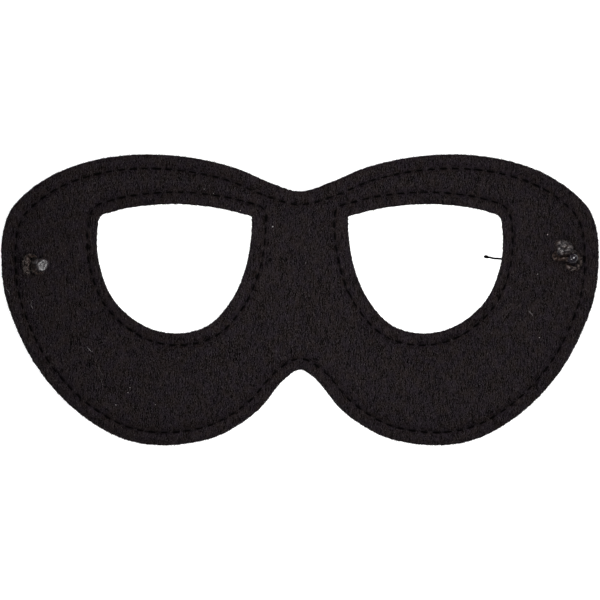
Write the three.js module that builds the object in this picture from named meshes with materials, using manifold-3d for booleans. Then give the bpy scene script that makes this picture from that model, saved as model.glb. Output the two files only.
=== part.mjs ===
// A flat domino mask of thick black felt, lying face up on a table: +X to the wearer's left, +Y to the
// brow, +Z out of the face. The origin is on the table, under the middle of the felt.
// The felt is one wall with two eye openings. A round elastic band lies under it, goes up through a hole
// at each side and is held by an overhand knot on the face. The felt drapes over the band and is flat on
// the table elsewhere.
import * as THREE from "three";
import { mergeVertices } from "three/addons/utils/BufferGeometryUtils.js";
import Module from "manifold-3d";

// Driving sizes, in millimetres.
const maskWidth = 180;
const maskHeight = 87.6;
const feltThickness = 2.5;
const openingWidth = 46.9;
const openingHeight = 39.2;
const openingSpacing = 75.7; // between the middles of the two openings
const openingRise = 9.3; // the openings' middle above the mask's middle
const bandDiameter = 1.8;
const strandDiameter = 1.45; // the elastic where the knots have pulled it thin
const holeInset = 9.5; // from the side of the mask to the middle of a hole
const holeRise = 10.4;
const clearance = 0.3; // between the elastic and the felt

// The felt's drape over the band: level beside the band, then falling to the table.
const drapeShelf = 3.4;
const drapeFall = 15;

// How finely the felt and the elastic are divided.
const raysRound = 84;
const ringsAcross = 7;
const outlineSteps = 220;
const bandSteps = 80;
const knotSteps = 80;
const sectionSegments = 4; // a bar's section gets twice as many sides
const tunnelSteps = 12;
const cornerSteps = 6;
const bandSamples = 160;

const halfWidth = maskWidth / 2;
const halfHeight = maskHeight / 2;
const openingMiddle = new THREE.Vector2(openingSpacing / 2, openingRise);
const bandRise = bandDiameter + clearance;

// One half of the mask's edge, from the top of the bridge round the side to the bottom of the bridge,
// as shares of the half width and the half height.
const edgeStations = [
  { across: 0.0, up: 0.743 },
  { across: 0.1, up: 0.803 },
  { across: 0.222, up: 0.908 },
  { across: 0.367, up: 0.976 },
  { across: 0.522, up: 0.998 },
  { across: 0.667, up: 0.968 },
  { across: 0.8, up: 0.884 },
  { across: 0.9, up: 0.762 },
  { across: 0.967, up: 0.621 },
  { across: 0.995, up: 0.457 },
  { across: 0.999, up: 0.26 },
  { across: 0.991, up: 0.08 },
  { across: 0.965, up: -0.11 },
  { across: 0.882, up: -0.457 },
  { across: 0.748, up: -0.765 },
  { across: 0.589, up: -0.958 },
  { across: 0.439, up: -1.0 },
  { across: 0.278, up: -0.938 },
  { across: 0.144, up: -0.765 },
  { across: 0.056, up: -0.552 },
  { across: 0.0, up: -0.48 },
];

// An eye opening, from its sharp corner by the nose, under the eye, to the lower end of its outer
// corner, as shares of its own half width and half height.
const openingStations = [
  { across: -0.998, up: 0.812 },
  { across: -0.995, up: 0.546 },
  { across: -0.925, up: 0.036 },
  { across: -0.746, up: -0.469 },
  { across: -0.43, up: -0.878 },
  { across: -0.01, up: -1.0 },
  { across: 0.41, up: -0.871 },
  { across: 0.79, up: -0.474 },
  { across: 0.965, up: 0.036 },
  { across: 1.0, up: 0.44 },
  { across: 0.986, up: 0.7 },
];
const lidStations = [
  { across: 0.9, up: 0.847 }, // the upper end of the rounded outer corner
  { across: 0.6, up: 0.939 },
  { across: 0.03, up: 1.0 },
  { across: -0.55, up: 0.939 },
  { across: -0.998, up: 0.812 },
];
const outerCorner = { across: 0.974, up: 0.828 };

// The band under the felt, from the left hole to the right one, as shares of the half width and the
// half height.
const bandStations = [
  { across: -0.868, up: -0.1 },
  { across: -0.8, up: -0.36 },
  { across: -0.69, up: -0.565 },
  { across: -0.56, up: -0.668 },
  { across: -0.42, up: -0.655 },
  { across: -0.305, up: -0.56 },
  { across: -0.215, up: -0.4 },
  { across: -0.15, up: -0.2 },
  { across: -0.103, up: 0.03 },
  { across: -0.086, up: 0.25 },
  { across: -0.045, up: 0.41 },
  { across: 0.02, up: 0.44 },
  { across: 0.073, up: 0.31 },
  { across: 0.09, up: 0.1 },
  { across: 0.13, up: -0.14 },
  { across: 0.2, up: -0.37 },
  { across: 0.29, up: -0.55 },
  { across: 0.41, up: -0.66 },
  { across: 0.55, up: -0.68 },
  { across: 0.685, up: -0.585 },
  { across: 0.8, up: -0.37 },
  { across: 0.866, up: -0.1 },
];

// The two overhand knots. Each is an opened trefoil about its middle, turned about +Z and leaned over.
// Its leg comes up the hole and its tail is the cut end. Places are counted from the hole, in strand
// diameters, with the height over the felt's face.
const knotLay = {
  left: {
    side: -1,
    middle: { across: 1.24, up: 0.24 },
    turn: -125,
    leanAbout: { across: 0, up: -1 },
    lean: 22,
    leg: [{ across: 0, up: 0, over: 0.3 }],
    tail: [
      { across: -0.38, up: 2.22, over: 1.9 },
      { across: -1.06, up: 2.62, over: 1.5 },
      { across: -1.61, up: 1.99, over: 1.15 },
      { across: -1.68, up: 0.84, over: 0.9 },
      { across: -1.51, up: -0.46, over: 0.8 },
      { across: -1.06, up: -1.86, over: 0.75 },
    ],
  },
  right: {
    side: 1,
    middle: { across: -0.48, up: 2.97 },
    turn: 45,
    leanAbout: { across: 0.7, up: 0.7 },
    lean: 8,
    leg: [
      { across: 0, up: 0, over: 0.2 },
      { across: 0.72, up: -0.65, over: 0.75 },
      { across: 1.86, up: -0.48, over: 0.75 },
      { across: 2.47, up: 0.63, over: 0.8 },
      { across: 2.12, up: 1.92, over: 0.75 },
    ],
    tail: [
      { across: 0.77, up: 0.99, over: 1.55 },
      { across: 1.27, up: 0.87, over: 1.75 },
      { across: 1.38, up: 0.82, over: 2.6 },
    ],
  },
};

const wasm = await Module();
wasm.setup();

function toSolid(geometry) {
  const plain = geometry.index ? geometry.toNonIndexed() : geometry.clone();
  plain.deleteAttribute("normal");
  plain.deleteAttribute("uv");
  const merged = mergeVertices(plain, 1e-4);
  return new wasm.Manifold(
    new wasm.Mesh({
      numProp: 3,
      vertProperties: merged.attributes.position.array,
      triVerts: new Uint32Array(merged.index.array),
    }),
  );
}

function toGeometry(solid) {
  const mesh = solid.getMesh();
  const geometry = new THREE.BufferGeometry();
  geometry.setAttribute("position", new THREE.BufferAttribute(mesh.vertProperties, 3));
  geometry.setIndex(new THREE.BufferAttribute(mesh.triVerts, 1));
  return geometry;
}

function smoothLine(points) {
  return new THREE.CatmullRomCurve3(points, false, "centripetal");
}

// A round bar along a line, as a closed solid.
function bar(line, diameter, steps) {
  const section = new THREE.Shape();
  section.absarc(0, 0, diameter / 2, 0, 2 * Math.PI);
  return new THREE.ExtrudeGeometry(section, {
    extrudePath: line,
    steps,
    curveSegments: sectionSegments,
  });
}

// The elastic's way

function planPoint(station) {
  return new THREE.Vector3(station.across * halfWidth, station.up * halfHeight, bandDiameter / 2);
}

function holePlace(side) {
  return new THREE.Vector2(side * (halfWidth - holeInset), holeRise);
}

// From the level above the felt straight down a hole, then round to lie on the table, heading for the
// band.
function legPoints(side, top) {
  const hole = holePlace(side);
  const bend = 2 * bandDiameter;
  const low = bandDiameter / 2;
  const bendSteps = 6;
  const points = [new THREE.Vector3(hole.x, hole.y, top)];
  for (let i = 0; i <= bendSteps; i++) {
    const turned = (i / bendSteps) * (Math.PI / 2);
    const y = hole.y - bend * (1 - Math.cos(turned));
    points.push(new THREE.Vector3(hole.x, y, low + bend * (1 - Math.sin(turned))));
  }
  points.push(new THREE.Vector3(hole.x, hole.y - bend - bandDiameter / 2, low));
  return points;
}

// A trefoil's line, in strand diameters. Its crossings stay just over one strand apart.
const loopReach = 0.72;
const loopRise = 0.72;
const crossingSoftness = 0.35;
const legCut = 0.55; // how far before and after its lowest lobe the trefoil is opened, in radians
const tailCut = 0.42;

function trefoilPoint(angle) {
  const swing = Math.sin(3 * angle);
  const level = (swing * (1 + crossingSoftness)) / (Math.abs(swing) + crossingSoftness);
  return new THREE.Vector3(
    -loopReach * (Math.sin(angle) + 2 * Math.sin(2 * angle)),
    loopReach * (Math.cos(angle) - 2 * Math.cos(2 * angle)),
    -loopRise * level,
  );
}

function knotLine({ side, middle, turn, leanAbout, lean, leg, tail }) {
  const leanAxis = new THREE.Vector3(leanAbout.across, leanAbout.up, 0).normalize();
  const laid = new THREE.Matrix4()
    .makeRotationAxis(leanAxis, THREE.MathUtils.degToRad(lean))
    .multiply(new THREE.Matrix4().makeRotationZ(THREE.MathUtils.degToRad(turn)));
  const loops = [];
  const loopSteps = 20;
  const from = 3 * Math.PI - legCut;
  const to = Math.PI + tailCut;
  for (let i = 0; i <= loopSteps; i++) {
    loops.push(trefoilPoint(from + ((to - from) * i) / loopSteps).applyMatrix4(laid));
  }
  const lowest = Math.min(...loops.map((point) => point.z));
  const seat = clearance / strandDiameter + 0.5;
  for (const point of loops) point.add(new THREE.Vector3(middle.across, middle.up, seat - lowest));
  const stations = (list) => list.map((s) => new THREE.Vector3(s.across, s.up, s.over));
  const faceLevel = bandRise + feltThickness;
  const hole = holePlace(side);
  const overHole = new THREE.Vector3(hole.x, hole.y, faceLevel);
  const knot = [...stations(leg), ...loops, ...stations(tail)].map((point) =>
    point.multiplyScalar(strandDiameter).add(overHole),
  );
  return smoothLine([...legPoints(side, faceLevel).reverse(), ...knot]);
}

const knotLines = { left: knotLine(knotLay.left), right: knotLine(knotLay.right) };

const bandEnds = [-1, 1].map((side) => legPoints(side, bandDiameter).at(-1));
for (const end of bandEnds) end.y -= clearance;
const bandLine = smoothLine([bandEnds[0], ...bandStations.map(planPoint), bandEnds[1]]);
const bandPlan = [holePlace(-1), ...bandLine.getSpacedPoints(bandSamples), holePlace(1)];

// The felt

// How high the felt's back lies above the table.
function drape(x, y) {
  const away = Math.min(...bandPlan.map((point) => Math.hypot(point.x - x, point.y - y)));
  return bandRise * (1 - THREE.MathUtils.smoothstep(away, drapeShelf, drapeShelf + drapeFall));
}

function edgeLoop() {
  const points = edgeStations.map((s) => new THREE.Vector3(s.across * halfWidth, s.up * halfHeight, 0));
  const mirrored = (point) => new THREE.Vector3(-point.x, point.y, 0);
  const whole = smoothLine([
    ...points.slice(1, 4).reverse().map(mirrored),
    ...points,
    ...points.slice(-4, -1).reverse().map(mirrored),
  ]);
  const side = whole.getPoints(outlineSteps).filter((point) => point.x > 0);
  return [points[0], ...side, points.at(-1)];
}

function openingPoint(station) {
  return new THREE.Vector3(
    openingMiddle.x + (station.across * openingWidth) / 2,
    openingMiddle.y + (station.up * openingHeight) / 2,
    0,
  );
}

function openingLoop() {
  const cup = smoothLine(openingStations.map(openingPoint)).getPoints(outlineSteps);
  const lid = smoothLine(lidStations.map(openingPoint)).getPoints(outlineSteps / 4);
  const corner = new THREE.QuadraticBezierCurve3(cup.at(-1), openingPoint(outerCorner), lid[0]);
  return [...cup, ...corner.getPoints(cornerSteps).slice(1), ...lid.slice(1, -1)];
}

// Where a ray from the opening's middle crosses a closed line.
function crossing(loop, angle) {
  const way = new THREE.Vector2(Math.cos(angle), Math.sin(angle));
  let farthest = null;
  loop.forEach((start, i) => {
    const end = loop[(i + 1) % loop.length];
    const a = new THREE.Vector2(start.x, start.y).sub(openingMiddle);
    const b = new THREE.Vector2(end.x, end.y).sub(openingMiddle);
    const aSide = way.cross(a);
    const bSide = way.cross(b);
    if (aSide * bSide > 0 || aSide === bSide) return;
    const met = a.clone().lerp(b, aSide / (aSide - bSide));
    if (met.dot(way) > 0 && (!farthest || met.length() > farthest.length())) farthest = met;
  });
  return farthest.add(openingMiddle);
}

// The rays' angles: even, with one at each corner that the felt keeps.
function rayAngles(corners) {
  const angleOf = (point) => Math.atan2(point.y - openingMiddle.y, point.x - openingMiddle.x);
  const kept = corners.map(angleOf).sort((a, b) => a - b);
  return kept.flatMap((angle, i) => {
    const next = i + 1 < kept.length ? kept[i + 1] : kept[0] + 2 * Math.PI;
    const count = Math.max(1, Math.round(((next - angle) / (2 * Math.PI)) * raysRound));
    return Array.from({ length: count }, (_, k) => angle + ((next - angle) * k) / count);
  });
}

function halfFelt(side) {
  const edge = edgeLoop();
  const opening = openingLoop();
  const outerEnds = [openingStations.at(-1), outerCorner, lidStations[0]];
  const openingCorners = [openingStations[0], ...outerEnds].map(openingPoint);
  const angles = rayAngles([edge[0], edge.at(-1), ...openingCorners]);
  const onBridge = [];
  const vertices = [];
  for (const angle of angles) {
    const inner = crossing(opening, angle);
    const outer = crossing(edge, angle);
    if (Math.abs(outer.x) < 1e-3) outer.x = 0;
    onBridge.push(outer.x === 0);
    for (let ring = 0; ring <= ringsAcross; ring++) {
      const place = inner.clone().lerp(outer, ring / ringsAcross);
      const back = drape(side * place.x, place.y);
      vertices.push([side * place.x, place.y, back + feltThickness], [side * place.x, place.y, back]);
    }
  }
  const at = (ray, ring, level) => ((ray % angles.length) * (ringsAcross + 1) + ring) * 2 + level;
  const faces = [];
  const quad = (a, b, c, d) => faces.push([a, b, c], [a, c, d]);
  const [face, back] = [0, 1];
  for (let ray = 0; ray < angles.length; ray++) {
    for (let ring = 0; ring < ringsAcross; ring++) {
      const [next, far] = [ray + 1, ring + 1];
      quad(at(ray, ring, face), at(ray, far, face), at(next, far, face), at(next, ring, face));
      quad(at(ray, ring, back), at(next, ring, back), at(next, far, back), at(ray, far, back));
    }
    quad(at(ray, 0, face), at(ray + 1, 0, face), at(ray + 1, 0, back), at(ray, 0, back));
    if (onBridge[ray] && onBridge[(ray + 1) % angles.length]) continue;
    const last = ringsAcross;
    quad(at(ray, last, face), at(ray, last, back), at(ray + 1, last, back), at(ray + 1, last, face));
  }
  const turned = side > 0 ? faces : faces.map(([a, b, c]) => [a, c, b]);
  return turned.flat().flatMap((index) => vertices[index]);
}

function feltSolid() {
  const sheet = new THREE.BufferGeometry();
  sheet.setAttribute("position", new THREE.Float32BufferAttribute([...halfFelt(1), ...halfFelt(-1)], 3));
  let felt = toSolid(sheet);
  for (const side of [-1, 1]) {
    const leg = smoothLine(legPoints(side, bandRise + feltThickness + clearance));
    felt = felt.subtract(toSolid(bar(leg, strandDiameter + 2 * clearance, tunnelSteps)));
  }
  return toGeometry(felt);
}

function cloth(colour, roughness) {
  return new THREE.MeshStandardMaterial({ color: colour, roughness, metalness: 0 });
}

function piece(name, geometry, material) {
  const mesh = new THREE.Mesh(geometry, material);
  mesh.name = name;
  return mesh;
}

const blackFelt = cloth(0x1a1719, 0.97);
const blackElastic = cloth(0x141214, 0.45);

const elastic = new THREE.Group();
elastic.add(piece("elastic_band", bar(bandLine, bandDiameter, bandSteps), blackElastic));
elastic.add(piece("knot_left", bar(knotLines.left, strandDiameter, knotSteps), blackElastic));
elastic.add(piece("knot_right", bar(knotLines.right, strandDiameter, knotSteps), blackElastic));

const mask = new THREE.Group();
mask.add(piece("felt_mask", feltSolid(), blackFelt));
mask.add(elastic);

export default mask;
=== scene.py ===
import itertools
import math
import random

import bmesh
import bpy
import mathutils
import numpy as np
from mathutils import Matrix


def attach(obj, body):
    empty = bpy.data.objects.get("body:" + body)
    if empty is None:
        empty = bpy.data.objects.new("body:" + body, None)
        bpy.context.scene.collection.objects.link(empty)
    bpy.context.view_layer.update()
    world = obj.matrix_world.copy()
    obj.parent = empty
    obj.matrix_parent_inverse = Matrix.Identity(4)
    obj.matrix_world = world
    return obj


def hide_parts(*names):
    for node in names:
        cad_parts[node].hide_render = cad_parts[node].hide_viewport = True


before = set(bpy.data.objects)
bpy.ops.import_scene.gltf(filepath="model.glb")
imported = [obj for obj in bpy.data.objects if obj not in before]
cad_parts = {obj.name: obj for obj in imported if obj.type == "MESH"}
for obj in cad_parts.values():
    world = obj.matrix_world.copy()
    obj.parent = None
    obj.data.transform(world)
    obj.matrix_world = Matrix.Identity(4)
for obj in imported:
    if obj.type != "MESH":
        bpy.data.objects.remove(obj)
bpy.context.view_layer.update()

# Camera
# A long lens straight over the mask, 2 m above the table, so that the felt's outline is seen with almost
# no perspective, as a product photographer sees it.
mm = 0.001
camera_height = 2000 * mm
pictured_width = 180.78 * mm
outline_level = 3.5 * mm
sensor_width = 36

camera_data = bpy.data.cameras.new("overhead_camera")
camera_data.sensor_width = sensor_width
camera_data.lens = sensor_width * (camera_height - outline_level) / pictured_width
camera_data.clip_start = 0.01
camera = bpy.data.objects.new("overhead_camera", camera_data)
camera.location = (0, -0.12 * mm, camera_height)
bpy.context.scene.collection.objects.link(camera)
bpy.context.scene.camera = camera

# Elastic band
# Round braided elastic, black polyester over a rubber core, that goes round the wearer's head. Here it
# lies on the table under the felt, from the hole at one side of the mask to the hole at the other.
half_width = 90 * mm
half_height = 43.8 * mm
felt_thickness = 2.5 * mm
clearance = 0.3 * mm
hole_across = 80.5 * mm
hole_up = 10.4 * mm
band_diameter = 1.8 * mm
band_sides = 32
band_step = 0.22 * mm
braid_strands = 12
braid_lay = 5.2 * mm
braid_relief = 0.045 * mm
threads_per_strand = 4
tube_tip = 0.35
bare_polish = 1.6
band_stations = [
    (-0.868, -0.1),
    (-0.8, -0.36),
    (-0.69, -0.565),
    (-0.56, -0.668),
    (-0.42, -0.655),
    (-0.305, -0.56),
    (-0.215, -0.4),
    (-0.15, -0.2),
    (-0.103, 0.03),
    (-0.086, 0.25),
    (-0.045, 0.41),
    (0.02, 0.44),
    (0.073, 0.31),
    (0.09, 0.1),
    (0.13, -0.14),
    (0.2, -0.37),
    (0.29, -0.55),
    (0.41, -0.66),
    (0.55, -0.68),
    (0.685, -0.585),
    (0.8, -0.37),
    (0.866, -0.1),
]


def smooth_line(stations, steps=24):
    """Points on a smooth line through the stations, closer together where it turns."""
    stations = np.array(stations, dtype=float)
    before = 2 * stations[0] - stations[1]
    after = 2 * stations[-1] - stations[-2]
    stations = np.vstack([before, stations, after])
    line = []
    for a, b, c, d in zip(stations, stations[1:], stations[2:], stations[3:]):
        ab, bc, cd = (np.linalg.norm(q - p) ** 0.5 for p, q in ((a, b), (b, c), (c, d)))
        leaving = ((b - a) / ab - (c - a) / (ab + bc) + (c - b) / bc) * bc
        arriving = ((c - b) / bc - (d - b) / (bc + cd) + (d - c) / cd) * bc
        for t in np.arange(steps) / steps:
            square = -3 * b + 3 * c - 2 * leaving - arriving
            cube = 2 * b - 2 * c + leaving + arriving
            line.append(b + leaving * t + square * t**2 + cube * t**3)
    line.append(stations[-2])
    return np.array(line)


def walked(line):
    """How far along the line each of its points is."""
    return np.concatenate([[0], np.cumsum(np.linalg.norm(np.diff(line, axis=0), axis=1))])


def evenly(line, count):
    """The same line as a number of evenly spaced points."""
    along = walked(line)
    places = np.linspace(0, along[-1], count)
    return np.stack([np.interp(places, along, line[:, k]) for k in range(line.shape[1])], axis=1)


def leg_points(side, top):
    """The elastic's way from over the felt straight down its hole and round onto the table."""
    bend = 2 * band_diameter
    low = band_diameter / 2
    points = [(side * hole_across, hole_up, top)]
    for turned in np.linspace(0, math.pi / 2, 7):
        y = hole_up - bend * (1 - math.cos(turned))
        points.append((side * hole_across, y, low + bend * (1 - math.sin(turned))))
    points.append((side * hole_across, hole_up - bend - band_diameter / 2, low))
    return points


def braid_height(around, along, strands, lay):
    """How far a round braid stands out, from 0 to 1: each strand goes over one and under the next."""
    one = strands * (around / (2 * math.pi) + along / lay)
    other = strands * (around / (2 * math.pi) - along / lay)
    over = (np.floor(one) + np.floor(other)) % 2 == 0
    across = np.where(over, one % 1, other % 1)
    length = np.where(over, other % 1, one % 1)
    return np.sin(math.pi * across) ** 0.7 * (0.45 + 0.55 * np.sin(math.pi * length))


def plain_mesh(name, points, faces, smooth=True):
    mesh = bpy.data.meshes.new(name)
    mesh.from_pydata([tuple(p) for p in points], [], [tuple(f) for f in faces])
    mesh.update()
    mesh.polygons.foreach_set("use_smooth", [smooth] * len(mesh.polygons))
    return mesh


def add_piece(name, mesh, material):
    piece = bpy.data.objects.new(name, mesh)
    bpy.context.scene.collection.objects.link(piece)
    if material is not None and not mesh.materials:
        mesh.materials.append(material)
    return piece


def elastic_tube(name, line, radius, sides, material, relief, polish=0.3, limit=None):
    """A closed tube of braided elastic along a line, with its radius given at each point."""
    count = len(line)
    ways = np.gradient(line, axis=0)
    ways /= np.linalg.norm(ways, axis=1)[:, None]
    side_way = np.cross(ways[0], (0.13, 0.57, 0.81))
    side_ways = []
    for way in ways:
        side_way = side_way - way * side_way.dot(way)
        side_way /= np.linalg.norm(side_way)
        side_ways.append(side_way)
    side_ways = np.array(side_ways)
    other_ways = np.cross(ways, side_ways)
    around = np.linspace(0, 2 * math.pi, sides, endpoint=False)
    out = (
        np.cos(around)[None, :, None] * side_ways[:, None, :]
        + np.sin(around)[None, :, None] * other_ways[:, None, :]
    )
    reach = np.repeat(np.asarray(radius)[:, None], sides, axis=1)
    if limit is not None:
        reach = limit(line, out, reach)
    along = walked(line)
    height = braid_height(around[None, :], along[:, None], braid_strands, braid_lay)
    smoothed = np.clip(bare_polish - np.broadcast_to(polish, count), 0.1, 1)[:, None]
    reach = reach + relief * smoothed * (height - 0.5)
    points = (line[:, None, :] + out * reach[:, :, None]).reshape(-1, 3)
    root = line[0] - ways[0] * reach[0].mean() * tube_tip
    points = np.vstack([points, root, line[-1] + ways[-1] * reach[-1].mean() * tube_tip])
    faces = []
    for ring in range(count - 1):
        for k in range(sides):
            a, b = ring * sides + k, ring * sides + (k + 1) % sides
            faces.append((a, b, b + sides, a + sides))
    first, last = count * sides, count * sides + 1
    for k in range(sides):
        faces.append((first, (k + 1) % sides, k))
        ring = (count - 1) * sides
        faces.append((last, ring + k, ring + (k + 1) % sides))
    mesh = plain_mesh(name, points, faces)
    lie = mesh.uv_layers.new(name="braid")
    turn_share = np.array([v % sides for v in range(count * sides)] + [0, 0]) / sides
    length_share = np.concatenate([np.repeat(along, sides), [along[0], along[-1]]]) / braid_lay
    corners = np.array([corner.vertex_index for corner in mesh.loops])
    lie.data.foreach_set("uv", np.stack([turn_share, length_share], axis=1)[corners].ravel())
    shine = np.repeat(np.broadcast_to(polish, count), sides)
    shine = np.concatenate([shine, shine[:1], shine[-1:]])
    mesh.attributes.new("polish", "FLOAT", "POINT").data.foreach_set("value", shine)
    return add_piece(name, mesh, material)


def new_material(name, **settings):
    """A material with a Principled shader, whose plain values are set on its own sockets."""
    material = bpy.data.materials.new(name)
    material.use_nodes = True
    shader = material.node_tree.nodes["Principled BSDF"]
    for socket, value in settings.items():
        shader.inputs[socket.replace("_", " ")].default_value = value
    return material, material.node_tree, shader


def put(tree, kind, values=None, **settings):
    """Adds a node. Its inputs are given by name or number, as plain values or as other nodes' outputs."""
    node = tree.nodes.new(kind)
    for name, value in settings.items():
        setattr(node, name, value)
    for name, value in (values or {}).items():
        if isinstance(value, bpy.types.NodeSocket):
            tree.links.new(value, node.inputs[name])
        else:
            node.inputs[name].default_value = value
    return node


def made(tree, kind, values=None, **settings):
    """Adds a node and gives its first output."""
    return put(tree, kind, values, **settings).outputs[0]


def maths(tree, operation, *values):
    """The result of one Math node."""
    return made(tree, "ShaderNodeMath", dict(enumerate(values)), operation=operation)


def vectors(tree, operation, first, second):
    """The result of one Vector Math node. SCALE takes a number second, and the others take a vector."""
    inputs = {0: first, "Scale" if operation == "SCALE" else 1: second}
    return made(tree, "ShaderNodeVectorMath", inputs, operation=operation)


def ranged(tree, value, low, high, at_low, at_high):
    """A value carried over from one range to another, and kept inside it."""
    return made(tree, "ShaderNodeMapRange", {0: value, 1: low, 2: high, 3: at_low, 4: at_high})


def chosen(tree, least, most, seed, kind="FLOAT"):
    """A random number, or a random vector, for each item."""
    sort = 0 if kind == "FLOAT_VECTOR" else 1
    inputs = {2 * sort: least, 2 * sort + 1: most, "Seed": seed}
    return put(tree, "FunctionNodeRandomValue", inputs, data_type=kind).outputs[sort]


def mottle(tree, scale, detail):
    """Fine noise on the object's own coordinates."""
    spots = put(tree, "ShaderNodeTexCoord")
    inputs = {"Vector": spots.outputs["Object"], "Scale": scale, "Detail": detail}
    return put(tree, "ShaderNodeTexNoise", inputs).outputs["Fac"]


def two_tone(tree, value, dark, light):
    """Colour that runs from dark to light. Each is the value where it stands, and the colour."""
    ramp = put(tree, "ShaderNodeValToRGB", {"Fac": value})
    for mark, (position, colour) in zip(ramp.color_ramp.elements, (dark, light)):
        mark.position = position
        mark.color = (*colour, 1)
    return ramp.outputs["Color"]


def mottled_material(name, scale, detail, dark, light, **settings):
    """A material whose colour is mottled between two tones, and the noise that it follows."""
    material, tree, shader = new_material(name, **settings)
    noise = mottle(tree, scale, detail)
    tree.links.new(two_tone(tree, noise, dark, light), shader.inputs["Base Color"])
    return material, tree, shader, noise


def new_group(name, kind, inputs, outputs):
    """A node group with named inputs and outputs, and its two end nodes."""
    tree = bpy.data.node_groups.new(name, kind)
    for label, sort, start in inputs:
        socket = tree.interface.new_socket(name=label, in_out="INPUT", socket_type="NodeSocket" + sort)
        if start is not None:
            socket.default_value = start
    for label, sort in outputs:
        tree.interface.new_socket(name=label, in_out="OUTPUT", socket_type="NodeSocket" + sort)
    return tree, tree.nodes.new("NodeGroupInput").outputs, tree.nodes.new("NodeGroupOutput")


def scattered(tree, done, points, thing, rotation, scale, finish):
    """The end of a tree that sets out copies of a thing, makes them real and gives them a finish."""
    inputs = {"Points": points, "Instance": thing, "Rotation": rotation, "Scale": scale}
    placed = made(tree, "GeometryNodeInstanceOnPoints", inputs)
    real = made(tree, "GeometryNodeRealizeInstances", {0: placed})
    finished = made(tree, "GeometryNodeSetMaterial", {"Geometry": real, "Material": finish})
    tree.links.new(finished, done.inputs[0])


elastic_finish, tree, shader = new_material("braided_elastic")
lie = made(tree, "ShaderNodeUVMap", uv_map="braid")
split = put(tree, "ShaderNodeSeparateXYZ", {0: lie})
threads = []
for operation in ("ADD", "SUBTRACT"):
    way = maths(tree, operation, split.outputs[0], split.outputs[1])
    turns = maths(tree, "MULTIPLY", way, 2 * math.pi * braid_strands * threads_per_strand)
    threads.append(maths(tree, "SINE", turns))
thread_height = maths(tree, "MAXIMUM", *threads)
shade = mottle(tree, 1100, 3)
elastic_colour = two_tone(tree, shade, (0.42, (0.0015, 0.001, 0.0009)), (0.62, (0.03, 0.018, 0.014)))
polish = put(tree, "ShaderNodeAttribute", attribute_name="polish").outputs["Fac"]
worn_colour = put(tree, "ShaderNodeMix", {0: polish, 6: elastic_colour, 7: (0.006, 0.0045, 0.0065, 1)},
                  data_type="RGBA")
patchy = maths(tree, "MULTIPLY_ADD", shade, 4, -2)
worn = maths(tree, "ADD", polish, patchy)
shine = ranged(tree, worn, 0, 0.85, 0.06, 0.6)
gloss = ranged(tree, worn, 0, 1, 0.65, 0.14)
dented = ranged(tree, polish, 0.4, 1.2, 1, 0)
dents = put(tree, "ShaderNodeBump", {"Height": shade, "Strength": dented, "Distance": 0.6 * mm})
bump = put(tree, "ShaderNodeBump", {"Height": thread_height, "Strength": dented, "Distance": 0.01 * mm,
                                    "Normal": dents.outputs["Normal"]})
tree.links.new(worn_colour.outputs[2], shader.inputs["Base Color"])
tree.links.new(shine, shader.inputs["Specular IOR Level"])
tree.links.new(gloss, shader.inputs["Roughness"])
tree.links.new(bump.outputs["Normal"], shader.inputs["Normal"])

band_route = [leg_points(-1, band_diameter)[-1]]
band_route += [(u * half_width, v * half_height, band_diameter / 2) for u, v in band_stations]
band_route += [leg_points(1, band_diameter)[-1]]
band_line = smooth_line(band_route)
band_count = int(walked(band_line)[-1] / band_step)
band_line = evenly(band_line, band_count)
elastic_band = elastic_tube(
    "head_elastic",
    band_line,
    np.full(band_count, band_diameter / 2 - braid_relief / 2),
    band_sides,
    elastic_finish,
    braid_relief,
)

# Knots
# Each end of the elastic comes up through its hole and is tied in a tight overhand knot that can't slip
# back. The left one's cut end is crushed and frayed, and the right one's is melted to a round bead.
strand_diameter = 1.45 * mm
face_level = band_diameter + clearance + felt_thickness
knot_sides = 64
knot_rings = 380
loop_rise = 0.72
crossing_softness = 0.35
loop_start = 3 * math.pi - 0.55
loop_end = math.pi + 0.42
same_pass = 2.4 * mm
touching = 2.2 * mm
least_facing = 0.05
least_radius = 0.3 * mm

# Knot middles, legs and tails are in strand widths from the hole. A radius row is a share of the strand's
# length and the radius there in mm, and a polish row is a share and how far the braid is worn smooth.
left_knot = {
    "side": -1,
    "middle": (1.28, -0.12),
    "turn": -125,
    "lean_about": (0, -1),
    "lean": 17,
    "reach": 0.36,
    "squash_way": (0.2, -0.02, 1),
    "squash": 0.75 * mm,
    "dome": (3.6 * mm, 12 * mm),
    "leg": [(0, 0, 0.3)],
    "tail": [
        (0.45, 1.6, 1.9),
        (-0.2, 1.95, 1.75),
        (-0.95, 1.7, 1.35),
        (-1.15, 0.85, 1.1),
        (-1.1, -0.35, 1.0),
        (-0.75, -1.5, 0.95),
    ],
    "radius": [
        (0, 0.88),
        (0.13, 0.72),
        (0.2, 0.78),
        (0.27, 1.05),
        (0.33, 1.6),
        (0.35, 1.8),
        (0.39, 1.7),
        (0.44, 1.2),
        (0.6, 1.1),
        (0.68, 1.25),
        (0.745, 1.1),
        (0.785, 0.65),
        (0.835, 0.6),
        (0.87, 0.8),
        (0.91, 1.15),
        (0.96, 1.2),
        (0.985, 1.05),
        (1, 0.6),
    ],
    "polish": [
        (0, 0.2),
        (0.28, 0.1),
        (0.31, 0.74),
        (0.47, 0.74),
        (0.52, 0.1),
        (0.6, 0.1),
        (0.64, 0.78),
        (0.735, 0.7),
        (0.76, 0),
        (1, 0),
    ],
}
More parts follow.
